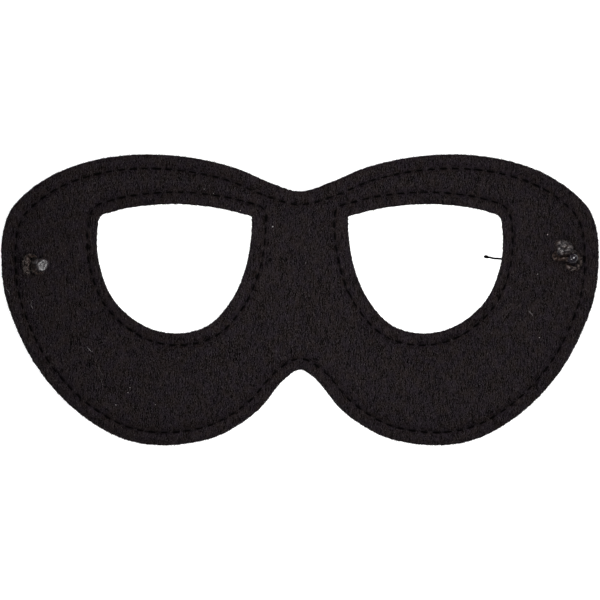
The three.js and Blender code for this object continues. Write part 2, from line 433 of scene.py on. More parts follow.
right_knot = {
    "side": 1,
    "middle": (-0.92, 3.5),
    "turn": -15,
    "lean_about": (0.7, 0.7),
    "lean": 8,
    "reach": 0.36,
    "squash_way": (-0.14, -0.04, 1),
    "squash": 0.35 * mm,
    "dome": (12 * mm, 12 * mm),
    "leg": [
        (0.1, -0.1, 0.2),
        (0.8, -0.7, 0.65),
        (1.8, -0.65, 0.65),
        (2.6, 0.3, 0.7),
        (2.3, 1.7, 0.75),
        (0.9, 2.7, 0.8),
    ],
    "tail": [
        (-1.95, 2.5, 1.1),
        (-2.6, 2.0, 0.75),
        (-2.6, 1.55, 0.7),
        (-2.1, 1.3, 0.75),
        (-1.1, 1.3, 0.9),
        (-0.1, 1.2, 1.1),
        (0.7, 1.15, 1.5),
        (1.3, 1.5, 1.8),
        (1.5, 1.7, 2.5),
    ],
    "radius": [
        (0, 0.88),
        (0.12, 0.72),
        (0.2, 0.76),
        (0.33, 0.8),
        (0.38, 1.4),
        (0.76, 1.4),
        (0.8, 0.95),
        (0.84, 0.72),
        (0.93, 0.7),
        (0.94, 0.9),
        (0.95, 1.3),
        (0.962, 1.5),
        (0.973, 1.47),
        (0.984, 1.22),
        (0.991, 0.92),
        (0.997, 0.52),
        (1, 0.2),
    ],
    "polish": [
        (0, 0.1),
        (0.2, 0.2),
        (0.3, 0.1),
        (0.38, 0.4),
        (0.77, 0.5),
        (0.81, 0),
        (0.93, 0),
        (0.945, 1.4),
        (1, 1.4),
    ],
}


def trefoil_point(angle, reach):
    swing = math.sin(3 * angle)
    level = swing * (1 + crossing_softness) / (abs(swing) + crossing_softness)
    across = -reach * (math.sin(angle) + 2 * math.sin(2 * angle))
    up = reach * (math.cos(angle) - 2 * math.cos(2 * angle))
    return mathutils.Vector((across, up, -loop_rise * level))


def knot_line(lay):
    """The middle of a knot's strand, from the table up the hole and round to the cut end."""
    lean = mathutils.Matrix.Rotation(math.radians(lay["lean"]), 3, (*lay["lean_about"], 0))
    turn = mathutils.Matrix.Rotation(math.radians(lay["turn"]), 3, "Z")
    turns = np.linspace(loop_start, loop_end, 21)
    loops = [lean @ turn @ trefoil_point(angle, lay["reach"]) for angle in turns]
    lowest = min(point.z for point in loops)
    seat = clearance / strand_diameter + 0.5
    shift = mathutils.Vector((*lay["middle"], seat - lowest))
    stations = [mathutils.Vector(p) for p in lay["leg"]]
    stations += [point + shift for point in loops]
    stations += [mathutils.Vector(p) for p in lay["tail"]]
    hole = np.array((lay["side"] * hole_across, hole_up, face_level))
    above = [hole + np.array(point) * strand_diameter for point in stations]
    below = leg_points(lay["side"], face_level)[::-1]
    return evenly(smooth_line([*below, *above]), knot_rings)


def pressed(line, out, reach):
    """Where two passes of the strand touch, each is flattened against the other."""
    along = walked(line)
    middle = reach.mean(axis=1)
    reach = reach.copy()
    for i in range(len(line)):
        toward = line - line[i]
        gap = np.linalg.norm(toward, axis=1)
        near = (np.abs(along - along[i]) > same_pass) & (gap < touching)
        if not near.any():
            continue
        facing = out[i] @ (toward[near] / gap[near][:, None]).T
        room = gap[near] * middle[i] / (middle[i] + middle[near])
        allowed = room[None, :] / np.maximum(facing, least_facing)
        allowed = np.where(facing > least_facing, allowed, np.inf)
        reach[i] = np.minimum(reach[i], allowed.min(axis=1))
    return reach


def squashed(lay):
    """The knot is also flattened to a shallow dome from above, from lying packed flat."""
    way = np.array(lay["squash_way"]) / np.linalg.norm(lay["squash_way"])
    across, up = lay["middle"]
    hole = np.array((lay["side"] * hole_across, hole_up, face_level))
    middle = hole + np.array((across, up, 0)) * strand_diameter

    def limit(line, out, reach):
        reach = pressed(line, out, reach)
        height = (line @ way)[:, None]
        facing = out @ way
        beside = line[:, None, :] + out * reach[:, :, None] - middle
        beside = beside - (beside @ way)[:, :, None] * way
        sag = beside[:, :, 0] ** 2 / (2 * lay["dome"][0]) + beside[:, :, 1] ** 2 / (2 * lay["dome"][1])
        flat = (height + reach * facing).max() - lay["squash"] - sag
        room = (flat - height) / np.maximum(facing, least_facing)
        allowed = np.where(facing > least_facing, room, np.inf)
        return np.minimum(reach, np.maximum(allowed, least_radius))

    return limit


def at_rings(marks):
    """A value at each of the strand's rings, from its values at shares of its length."""
    shares, values = zip(*marks)
    return np.interp(np.linspace(0, 1, knot_rings), shares, values)


knots = []
for name, lay in (("left_knot", left_knot), ("right_knot", right_knot)):
    knots.append(
        elastic_tube(name, knot_line(lay), at_rings(lay["radius"]) * mm, knot_sides, elastic_finish,
                     braid_relief, at_rings(lay["polish"]), squashed(lay))
    )

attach(elastic_band, "root")
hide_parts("elastic_band")
for piece, node in zip(knots, ("knot_left", "knot_right")):
    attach(piece, "root")
    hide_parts(node)
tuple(band_route[0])

# Felt
# One thick layer of pressed black wool and rayon felt, die-cut to shape with two eye openings. Its cut
# edges are soft, it is drawn in along the stitching, and it drapes over the elastic that lies under it.
opening_across = 75.7 / 2 * mm
opening_up = 9.3 * mm
opening_half_width = 46.9 / 2 * mm
opening_half_height = 39.2 / 2 * mm
drape_shelf = 3.4 * mm
drape_fall = 15 * mm
stitch_pitch = 3.6 * mm
columns_per_stitch = 10
outline_inset = 4.2 * mm
opening_inset = 3.5 * mm
edge_round = 0.5 * mm
jag_fade = 3
trench_reach = 0.29 * mm
valley_depth = 0.36
valley_reach = 1.15 * mm
rim_height = 0.14
rim_reach = 0.22
back_draw = 0.7
flattened_nap = 1.0 * mm
dimple_depth = 0.85 * mm
dimple_reach = 2.1 * mm
crease_middle = (-60.5 * mm, -21 * mm)
crease_depth = 0.16 * mm
crease_width = 0.9 * mm
crease_length = 4.5 * mm
face_spacing = 0.7 * mm
back_spacing = 1.3 * mm
fibre_width = 0.14 * mm
streak_length = 1.15 * mm
dark_fibre = (0.438, (0.0001, 0.0001, 0.0001))
light_fibre = (0.576, (0.0141, 0.011, 0.0117))
edge_stations = [
    (0.0, 0.743),
    (0.1, 0.803),
    (0.222, 0.908),
    (0.367, 0.976),
    (0.522, 0.998),
    (0.667, 0.968),
    (0.8, 0.884),
    (0.9, 0.762),
    (0.967, 0.621),
    (0.995, 0.457),
    (0.999, 0.26),
    (0.991, 0.08),
    (0.965, -0.11),
    (0.882, -0.457),
    (0.748, -0.765),
    (0.589, -0.958),
    (0.439, -1.0),
    (0.278, -0.938),
    (0.144, -0.765),
    (0.056, -0.552),
    (0.0, -0.48),
]
cup_stations = [
    (-0.998, 0.812),
    (-0.995, 0.546),
    (-0.925, 0.036),
    (-0.746, -0.469),
    (-0.43, -0.878),
    (-0.01, -1.0),
    (0.41, -0.871),
    (0.79, -0.474),
    (0.965, 0.036),
    (1.0, 0.44),
    (0.986, 0.7),
]
outer_corner = (0.974, 0.828)
lid_stations = [(0.9, 0.847), (0.6, 0.939), (0.03, 1.0), (-0.55, 0.939), (-0.998, 0.812)]
face_shares = [0, 0.012, 0.035, 0.07, 0.12, 0.2, 0.32, 0.46, 0.6, 0.72, 0.81, 0.88, 0.935, 0.97, 1,
               1.03, 1.065, 1.12, 1.2, 1.32]
# Each layer of unevenness is its height in mm and how far it takes to change.
surface_layers = [(0.08, 7 * mm), (0.05, 2.3 * mm), (0.035, 0.9 * mm)]
jag_layers = [(0.04, 0.9 * mm), (0.09, 0.4 * mm)]
wall_layers = [(0.05, 0.6 * mm), (0.02, 1.6 * mm)]
wall_bulge = 0.12
back_shares = [0, 0.06, 0.2, 0.5, 0.82, 0.94, 1, 1.06, 1.18, 1.32]
wall_levels = [0.2, 0.42, 0.64, 0.84]


def mirrored(loop):
    """The same closed line on the other side, run the same way round."""
    return (loop * (-1, 1))[::-1]


def outline_loop():
    stations = [(u * half_width, v * half_height) for u, v in edge_stations]
    before = [(-x, y) for x, y in stations[3:0:-1]]
    after = [(-x, y) for x, y in stations[-2:-5:-1]]
    line = smooth_line(before + stations + after, 60)[60 * 3 : 60 * (len(stations) + 2) + 1]
    return np.vstack([line, mirrored(line)[1:-1]])


def opening_loop():
    def place(u, v):
        return (opening_across + u * opening_half_width, opening_up + v * opening_half_height)

    cup = smooth_line([place(*s) for s in cup_stations], 60)
    lid = smooth_line([place(*s) for s in lid_stations], 60)
    t = np.linspace(0, 1, 20)[1:-1, None]
    corner = (1 - t) ** 2 * cup[-1] + 2 * t * (1 - t) * np.array(place(*outer_corner)) + t**2 * lid[0]
    return np.vstack([cup, corner, lid[:-1]])


def softened(loop, step=0.05 * mm, reach=0.2 * mm):
    """A closed line at even steps, with its corners rounded a little, and the way into the felt."""
    closed = np.vstack([loop, loop[:1]])
    count = int(walked(closed)[-1] / step)
    points = evenly(closed, count + 1)[:-1]
    spread = np.fft.rfftfreq(count, d=step)
    keep = np.exp(-2 * (math.pi * spread * reach) ** 2)
    points = np.fft.irfft(np.fft.rfft(points, axis=0) * keep[:, None], n=count, axis=0)
    way = np.roll(points, -1, axis=0) - np.roll(points, 1, axis=0)
    way /= np.linalg.norm(way, axis=1)[:, None]
    return points, np.stack([way[:, 1], -way[:, 0]], axis=1)


def edge_columns(loop, inset):
    """Columns that run from a cut edge into the felt, spaced so that a stitch is always as many."""
    points, inward = softened(loop)
    depth = inset(points, inward)
    path = points + inward * depth[:, None]
    closed = np.vstack([path, path[:1]])
    along = walked(closed)
    stitches = round(along[-1] / stitch_pitch)
    places = np.linspace(0, along[-1], stitches * columns_per_stitch, endpoint=False)
    index = np.arange(len(closed))
    at = np.interp(places, along, index)

    def pick(values):
        values = np.concatenate([values, values[:1]])
        return np.stack([np.interp(at, index, values[:, k]) for k in range(values.shape[1])], axis=1)

    ways = pick(inward)
    ways /= np.linalg.norm(ways, axis=1)[:, None]
    return {"edge": pick(points), "way": ways, "depth": pick(depth[:, None])[:, 0], "stitches": stitches}


def outline_depth(points, inward):
    notch = np.exp(-((points[:, 0] / (9 * mm)) ** 2))
    low = np.clip(0.5 - points[:, 1] / (30 * mm), 0, 1)
    return outline_inset - 0.45 * mm * low - np.where(points[:, 1] < 0, 0.6 * mm, 0.3 * mm) * notch


def opening_depth(points, inward):
    return opening_inset - 0.62 * mm * inward[:, 0] * np.sign(points[:, 0])


def uneven(points, size, seed):
    """Smooth random values from -1 to 1 that change over about the given size."""
    points = np.asarray(points)
    cells = points / size
    corner = np.floor(cells).astype(np.int64)
    share = cells - corner
    share = share * share * (3 - 2 * share)
    total = np.zeros(len(points))
    for step in itertools.product((0, 1), repeat=points.shape[1]):
        mixed = ((corner + step) * (73856093, 19349663, 83492791)[: points.shape[1]]).sum(axis=1)
        mixed = mixed + seed * 974711
        mixed = (mixed ^ (mixed >> 13)) * 1274126177 & 0x7FFFFFFF
        value = ((mixed ^ (mixed >> 15)) & 65535) / 32767.5 - 1
        total += np.prod(np.where(step, share, 1 - share), axis=1) * value
    return total


def layered(points, layers, seed):
    """Unevenness in mm, in layers of different size."""
    return sum(high * uneven(points, wide, seed + i) for i, (high, wide) in enumerate(layers))


band_plan = np.vstack([[(-hole_across, hole_up)], band_line[::8, :2], [(hole_across, hole_up)]])


def drape(points):
    """How high the felt's back lies above the table."""
    height = np.empty(len(points))
    for start in range(0, len(points), 4000):
        part = points[start : start + 4000]
        away = np.linalg.norm(part[:, None, :] - band_plan[None, :, :], axis=2).min(axis=1)
        fall = np.clip((away - drape_shelf) / drape_fall, 0, 1)
        height[start : start + 4000] = (band_diameter + clearance) * (1 - fall * fall * (3 - 2 * fall))
    return height


def under_thread(columns, seed):
    """How firmly a stitch lies over each column, from 0 to 1. No two stitches are drawn equally tight."""
    count = len(columns["edge"])
    phase = (np.arange(count) % columns_per_stitch) / columns_per_stitch
    lain = np.clip(1.9 - np.abs(phase - 0.5) * 5.0, 0, 1)
    tight = np.random.default_rng(seed).uniform(0.68, 1, columns["stitches"])
    return lain * lain * (3 - 2 * lain) * np.repeat(tight, columns_per_stitch)


def stitched(columns, share, under, face):
    """How far the felt stands out at a share of the way to the stitching, and its trench there, whose
    depth also sets the painted shade in the trench.
    """
    away = (share - 1) * columns["depth"]
    trench = (0.15 + 0.6 * under) * np.exp(-((away / trench_reach) ** 2))
    valley = valley_depth * np.exp(-((away / valley_reach) ** 2))
    swell = rim_height * math.exp(-(((share - 0.5) / rim_reach) ** 2))
    return (swell - (trench + valley) * (1 if face else back_draw)) * mm, trench


def rounded(distance):
    """How far the felt's face has dropped at a distance from its cut edge."""
    inside = np.clip(1 - distance / edge_round, 0, 1)
    return edge_round * (1 - np.sqrt(1 - inside**2 * 0.9))


felt_points = []
felt_faces = []
nap_share = []
edge_share = []
trench_shade_share = []


# Each point keeps its nap share, whether it is on a cut edge, and its trench depth, which sets how much
# painted shade darkens the felt's colour there.
def add_points(points, nap, edge=0, trench=0):
    start = sum(len(block) for block in felt_points)
    felt_points.append(np.asarray(points))
    nap_share.append(np.broadcast_to(nap, (len(points),)).astype(float))
    edge_share.append(np.full(len(points), float(edge)))
    trench_shade_share.append(np.broadcast_to(trench, (len(points),)).astype(float))
    return start + np.arange(len(points))


def add_strip(one, other, flip=False):
    """Faces between two closed rows of points of the same length."""
    for a, b, c, d in zip(one, np.roll(one, -1), np.roll(other, -1), other):
        felt_faces.append((a, d, c, b) if flip else (a, b, c, d))


def relief(points, face):
    """The felt's own unevenness."""
    return layered(points, surface_layers, 3 if face else 40) * mm


def hole_dimple(points):
    away = np.minimum(
        np.linalg.norm(points - (hole_across, hole_up), axis=1),
        np.linalg.norm(points + (hole_across, -hole_up), axis=1),
    )
    return dimple_depth * np.exp(-((away / dimple_reach) ** 2))


def cheek_crease(points):
    """A faint fold line beside the left eye opening."""
    x, y = (points - crease_middle).T
    return crease_depth * np.exp(-(((x + 0.12 * y) / crease_width) ** 2) - (y / crease_length) ** 2)


def face_height(points):
    height = drape(points) + felt_thickness + relief(points, True)
    return height - hole_dimple(points) - cheek_crease(points)


def back_height(points):
    lifted = np.maximum(relief(points, False) + 0.1 * mm, 0) + 0.4 * hole_dimple(points)
    return drape(points) + lifted


def cut_edge(columns, seed):
    """The rings of one cut edge: across the face to past the stitching, down the wall, along the back."""
    under = under_thread(columns, seed)
    jag = layered(columns["edge"], jag_layers, seed)[:, None] * mm
    depth = columns["depth"]

    def moved(share):
        shift = jag * max(0, 1 - share * jag_fade)
        return columns["edge"] + columns["way"] * (share * depth[:, None] + shift)

    face_rows = []
    for share in face_shares:
        flat = moved(share)
        drawn, trench = stitched(columns, share, under, True)
        beside = (share - 1) * depth / flattened_nap
        nap = 1 - np.maximum(under, 0.2) * np.exp(-(beside**2))
        height = face_height(flat) + drawn - rounded(share * depth)
        face_rows.append(add_points(np.column_stack([flat, height]), nap, 0, trench))
    back_rows = []
    for share in back_shares:
        flat = moved(share)
        drawn, trench = stitched(columns, share, under, False)
        height = np.maximum(back_height(flat) - drawn + 0.35 * rounded(share * depth), 0)
        back_rows.append(add_points(np.column_stack([flat, height]), 0, 0, trench))
    top = felt_points_at(face_rows[0])
    bottom = felt_points_at(back_rows[0])
    walls = [face_rows[0]]
    for level in wall_levels:
        ring = top * (1 - level) + bottom * level
        bulge = (layered(ring, wall_layers, seed + 5) + wall_bulge * math.sin(math.pi * level)) * mm
        ring[:, :2] -= columns["way"] * bulge[:, None]
        walls.append(add_points(ring, 0, 1))
    walls.append(back_rows[0])
    for one, other in zip(face_rows, face_rows[1:]):
        add_strip(one, other, True)
    for one, other in zip(walls, walls[1:]):
        add_strip(one, other)
    for one, other in zip(back_rows, back_rows[1:]):
        add_strip(one, other)
    seams = face_rows[face_shares.index(1)], back_rows[back_shares.index(1)]
    return face_rows[-1], back_rows[-1], *seams


def felt_points_at(index):
    return np.vstack(felt_points)[index].copy()


def inside_loops(points, loops):
    """Whether each point is in the felt, between the outer closed line and the inner ones."""
    inside = np.zeros(len(points), dtype=bool)
    for loop in loops:
        for (ax, ay), (bx, by) in zip(loop, np.roll(loop, -1, axis=0)):
            if ay == by:
                continue
            spans = (points[:, 1] > ay) != (points[:, 1] > by)
            inside ^= spans & (points[:, 0] < (bx - ax) * (points[:, 1] - ay) / (by - ay) + ax)
    return inside


def fill(rows, spacing, height, nap, flip):
    """Fills the felt between the rows with nearly even triangles."""
    loops = [felt_points_at(row)[:, :2] for row in rows]
    border = np.vstack(loops)
    near = mathutils.kdtree.KDTree(len(border))
    for i, (x, y) in enumerate(border):
        near.insert((x, y, 0), i)
    near.balance()
    grid = []
    rise = spacing * math.sqrt(3) / 2
    for row in range(int(2 * half_height / rise) + 1):
        for column in range(int(2 * half_width / spacing) + 1):
            x = -half_width + (column + 0.5 * (row % 2)) * spacing
            grid.append((x, -half_height + row * rise))
    grid = np.array(grid)
    shifts = np.stack([uneven(grid, spacing, 71), uneven(grid, spacing, 72)], axis=1)
    grid = grid + 0.16 * spacing * shifts
    grid = grid[inside_loops(grid, loops)]
    far = np.array([near.find((x, y, 0))[2] > 0.6 * spacing for x, y in grid])
    grid = grid[far]
    added = add_points(np.column_stack([grid, height(grid)]), nap)
    index = np.concatenate([*rows, added])
    flat = np.vstack([border, grid]) / mm
    edges = []
    start = 0
    for loop in loops:
        ring = start + np.arange(len(loop))
        edges += list(zip(ring.tolist(), np.roll(ring, -1).tolist()))
        start += len(loop)
    spots = [mathutils.Vector(p) for p in flat]
    met = mathutils.geometry.delaunay_2d_cdt(spots, edges, [], 0, 1e-6, True)
    triangles = np.array(met[2])
    origin = np.array([came[0] for came in met[3]])
    triangles = origin[triangles]
    middles = flat[triangles].mean(axis=1) * mm
    triangles = triangles[inside_loops(middles, loops)]
    a, b, c = (flat[triangles[:, k]] for k in range(3))
    turned = np.cross(b - a, c - a) < 0
    if flip:
        turned = ~turned
    triangles[turned] = triangles[turned][:, ::-1]
    felt_faces.extend(index[triangles].tolist())


outline = edge_columns(outline_loop(), outline_depth)
right_opening = edge_columns(opening_loop(), opening_depth)
left_opening = edge_columns(mirrored(opening_loop()), opening_depth)
edges = {"outline": outline, "left_eye": left_opening, "right_eye": right_opening}
rows = {name: cut_edge(columns, 11 + 20 * i) for i, (name, columns) in enumerate(edges.items())}
fill([row[0] for row in rows.values()], face_spacing, face_height, 1, False)
fill([row[1] for row in rows.values()], back_spacing, back_height, 0, True)

felt_mesh = plain_mesh("felt_layer", np.vstack(felt_points), felt_faces)
# The trench attribute carries the painted shade along the stitching into the felt's material.
for name, share in (("nap", nap_share), ("cut_edge", edge_share), ("trench", trench_shade_share)):
    felt_mesh.attributes.new(name, "FLOAT", "POINT").data.foreach_set("value", np.concatenate(share))

# Fine wavering streaks of lighter and darker fibre, longer one way than the other.
streaks, given, done = new_group(
    "fibre_streaks",
    "ShaderNodeTree",
    [
        ("Place", "Vector", None),
        ("Width", "Float", fibre_width),
        ("Length", "Float", streak_length),
        ("Waver", "Float", 0.8 * fibre_width),
    ],
    [("Fine", "Float"), ("Broad", "Float"), ("Tint", "Float")],
)
bends = put(streaks, "ShaderNodeTexNoise", {"Vector": given["Place"], "Scale": 420, "Detail": 2})
centred = vectors(streaks, "SUBTRACT", bends.outputs["Color"], (0.5, 0.5, 0.5))
bent = vectors(streaks, "SCALE", centred, given["Waver"])
place = vectors(streaks, "ADD", given["Place"], bent)
cell = made(streaks, "ShaderNodeCombineXYZ", {0: given["Width"], 1: given["Length"], 2: given["Width"]})
fine_place = vectors(streaks, "DIVIDE", place, cell)
fine = put(streaks, "ShaderNodeTexNoise", {"Vector": fine_place, "Scale": 1, "Detail": 3,
                                           "Roughness": 0.6})
broad_place = vectors(streaks, "SCALE", fine_place, 0.33)
broad = put(streaks, "ShaderNodeTexNoise", {"Vector": broad_place, "Scale": 1, "Detail": 2,
                                            "Roughness": 0.55})
tint = put(streaks, "ShaderNodeTexNoise", {"Vector": given["Place"], "Scale": 330, "Detail": 3})
streaks.links.new(fine.outputs["Fac"], done.inputs["Fine"])
streaks.links.new(broad.outputs["Fac"], done.inputs["Broad"])
streaks.links.new(tint.outputs["Fac"], done.inputs["Tint"])

felt_finish, tree, shader = new_material("black_felt", Roughness=1.0, Specular_IOR_Level=0.02)
spots = put(tree, "ShaderNodeTexCoord")
streak = put(tree, "ShaderNodeGroup", node_tree=streaks)
tree.links.new(spots.outputs["Object"], streak.inputs["Place"])
blend = made(tree, "ShaderNodeMix", {0: 0.35, 2: streak.outputs["Fine"], 3: streak.outputs["Broad"]})
fibre_colour = two_tone(tree, blend, dark_fibre, light_fibre)
cooler = ranged(tree, streak.outputs["Tint"], 0.4, 0.6, 0, 1)
tinted = put(tree, "ShaderNodeMix", {0: cooler, 6: (1.05, 1.0, 0.93, 1), 7: (0.97, 0.95, 1.13, 1)},
             data_type="RGBA")
mixed = put(tree, "ShaderNodeMix", {0: 1.0, 6: fibre_colour, 7: tinted.outputs[2]},
            data_type="RGBA", blend_type="MULTIPLY")
# Painted shade: the felt's colour is darkened along each stitching trench, the more the deeper the
# trench.
painted_trench_shade = put(tree, "ShaderNodeAttribute", attribute_name="trench")
trench_shade_factor = ranged(tree, painted_trench_shade.outputs["Fac"], 0.08, 0.42, 1, 0.02)
shadowed = vectors(tree, "SCALE", mixed.outputs[2], trench_shade_factor)
bump = put(tree, "ShaderNodeBump", {"Height": blend, "Strength": 0.9, "Distance": 0.6 * mm})
tree.links.new(shadowed, shader.inputs["Base Color"])
tree.links.new(bump.outputs["Normal"], shader.inputs["Normal"])

felt_mask = add_piece("felt_layer", felt_mesh, felt_finish)

# Stitching
# Black polyester thread, sewn through the felt all round the outline and round each eye opening, seven
# stitches to the inch, with the same stitch on the back. Each stitch is pulled down into the felt.
thread_width = 0.58 * mm
stitch_length = 2.9 * mm
stitch_sink = 0.5 * mm
thread_plies = 3
thread_steps = 9
thread_sides = 6
thread_turns = 2.2
ply_radius = 0.43
ply_depth = 0.22
dive_power = 3.2
most_sway = (0.11, 0.11, 0.05)
least_stretch = (0.93, 0.9, 0.9)
most_stretch = (1.06, 1.12, 1.1)
face_lift = 0.16 * mm
back_lift = -0.12 * mm

thread_finish, tree, shader, fuzz = mottled_material(
    "black_thread", 5200, 2, (0.35, (0.0003, 0.0002, 0.0003)), (0.7, (0.0014, 0.0011, 0.0013)),
    Roughness=0.8, Specular_IOR_Level=0.01,
)
bump = put(tree, "ShaderNodeBump", {"Height": fuzz, "Strength": 0.5, "Distance": 0.06 * mm})
tree.links.new(bump.outputs["Normal"], shader.inputs["Normal"])

sewing, given, done = new_group(
    "lockstitch",
    "GeometryNodeTree",
    [
        ("Stitch Middles", "Geometry", None),
        ("Stitch Length", "Float", stitch_length),
        ("Thread Width", "Float", thread_width),
        ("Sink", "Float", stitch_sink),
        ("Plies", "Int", thread_plies),
        ("Steps", "Int", thread_steps),
        ("Seed", "Int", 7),
    ],
    [("Stitches", "Geometry")],
)
half = maths(sewing, "MULTIPLY", given["Stitch Length"], 0.5)
back = maths(sewing, "MULTIPLY", half, -1)
start = made(sewing, "ShaderNodeCombineXYZ", {0: back})
end = made(sewing, "ShaderNodeCombineXYZ", {0: half})
line = put(sewing, "GeometryNodeCurvePrimitiveLine", {"Start": start, "End": end})
steps = made(sewing, "GeometryNodeResampleCurve", {"Curve": line.outputs[0], "Count": given["Steps"]})
where = made(sewing, "GeometryNodeInputPosition")
parts = made(sewing, "ShaderNodeSeparateXYZ", {0: where})
share = maths(sewing, "DIVIDE", parts, half)
size = maths(sewing, "ABSOLUTE", share)
dive = maths(sewing, "POWER", size, dive_power)
drop = maths(sewing, "MULTIPLY", dive, given["Sink"])
down = maths(sewing, "MULTIPLY", drop, -1)
offset = made(sewing, "ShaderNodeCombineXYZ", {2: down})
arched = made(sewing, "GeometryNodeSetPosition", {"Geometry": steps, "Offset": offset})
along = put(sewing, "GeometryNodeSplineParameter")
turned = maths(sewing, "MULTIPLY", along.outputs["Factor"], thread_turns * 2 * math.pi)
twisted = made(sewing, "GeometryNodeSetCurveTilt", {"Curve": arched, "Tilt": turned})
radius = maths(sewing, "MULTIPLY", given["Thread Width"], ply_radius)
ring = made(sewing, "GeometryNodeCurvePrimitiveCircle", {"Resolution": thread_sides, "Radius": radius})
number = made(sewing, "GeometryNodeInputIndex")
turn = maths(sewing, "MULTIPLY", number, 2 * math.pi / thread_sides)
lobes = maths(sewing, "MULTIPLY", turn, given["Plies"])
wave = maths(sewing, "COSINE", lobes)
grown = maths(sewing, "MULTIPLY_ADD", wave, ply_depth, 1)
around = made(sewing, "GeometryNodeInputPosition")
lobed = vectors(sewing, "SCALE", around, grown)
section = made(sewing, "GeometryNodeSetPosition", {"Geometry": ring, "Position": lobed})
thread = made(sewing, "GeometryNodeCurveToMesh", {"Curve": twisted, "Profile Curve": section,
                                                  "Fill Caps": True})
smooth = made(sewing, "GeometryNodeSetShadeSmooth", {"Geometry": thread})
way = made(sewing, "GeometryNodeInputNamedAttribute", {"Name": "along"}, data_type="FLOAT_VECTOR")
up = made(sewing, "GeometryNodeInputNamedAttribute", {"Name": "up"}, data_type="FLOAT_VECTOR")
sway = chosen(sewing, [-most for most in most_sway], most_sway, given["Seed"], "FLOAT_VECTOR")
swayed = vectors(sewing, "ADD", way, sway)
laid = made(sewing, "FunctionNodeAxesToRotation", {0: swayed, 1: up},
            primary_axis="X", secondary_axis="Z")
stretch = chosen(sewing, least_stretch, most_stretch, given["Seed"], "FLOAT_VECTOR")
scattered(sewing, done, given["Stitch Middles"], smooth, laid, stretch, thread_finish)


def grow(host, tree, **values):
    """Runs a geometry tree on a piece and keeps the result as a plain mesh."""
    growth = host.modifiers.new(tree.name, "NODES")
    growth.node_group = tree
    for socket in tree.interface.items_tree:
        label = socket.name.replace(" ", "_")
        if socket.in_out == "INPUT" and label in values:
            growth[socket.identifier] = values[label]
    bpy.context.view_layer.update()
    grown = host.evaluated_get(bpy.context.evaluated_depsgraph_get())
    mesh = bpy.data.meshes.new_from_object(grown)
    host.modifiers.clear()
    return mesh


def stitch_row(name, row, lift, up, seed):
    """One stitch to each run of columns, lying in the trench that the felt has for it."""
    points = felt_points_at(row)
    middle = np.arange(columns_per_stitch // 2, len(points), columns_per_stitch)
    ways = points[(middle + 3) % len(points)] - points[middle - 3]
    places = points[middle].copy()
    places[:, 2] += lift
    host = add_piece(name, plain_mesh(name, places, []), None)
    for label, values in (("along", ways / np.linalg.norm(ways, axis=1)[:, None]),
                          ("up", np.tile((0, 0, up), (len(places), 1)))):
        attribute = host.data.attributes.new(label, "FLOAT_VECTOR", "POINT")
        attribute.data.foreach_set("vector", values.ravel())
    host.data = grow(host, sewing, Seed=seed)
    return host


stitching = []
for number, (name, row) in enumerate(rows.items()):
    stitching.append(stitch_row(name + "_stitching", row[2], face_lift, 1, 7 + number))
    stitching.append(stitch_row(name + "_back_stitching", row[3], back_lift, -1, 17 + number))

# Nap and fuzz
# Loose wool fibres that stand a little out of the felt: brushed up and down on its face, and ragged
# along its cut edges. They are finer and a little lighter than the felt, and catch the light.
nap_finish = mottled_material(
    "felt_fibre", 2600, 2, (0.38, (0.0015, 0.0012, 0.0014)), (0.68, (0.055, 0.046, 0.048)),
    Roughness=0.8, Specular_IOR_Level=0.1,
)[0]


shortest_fibre = 0.35


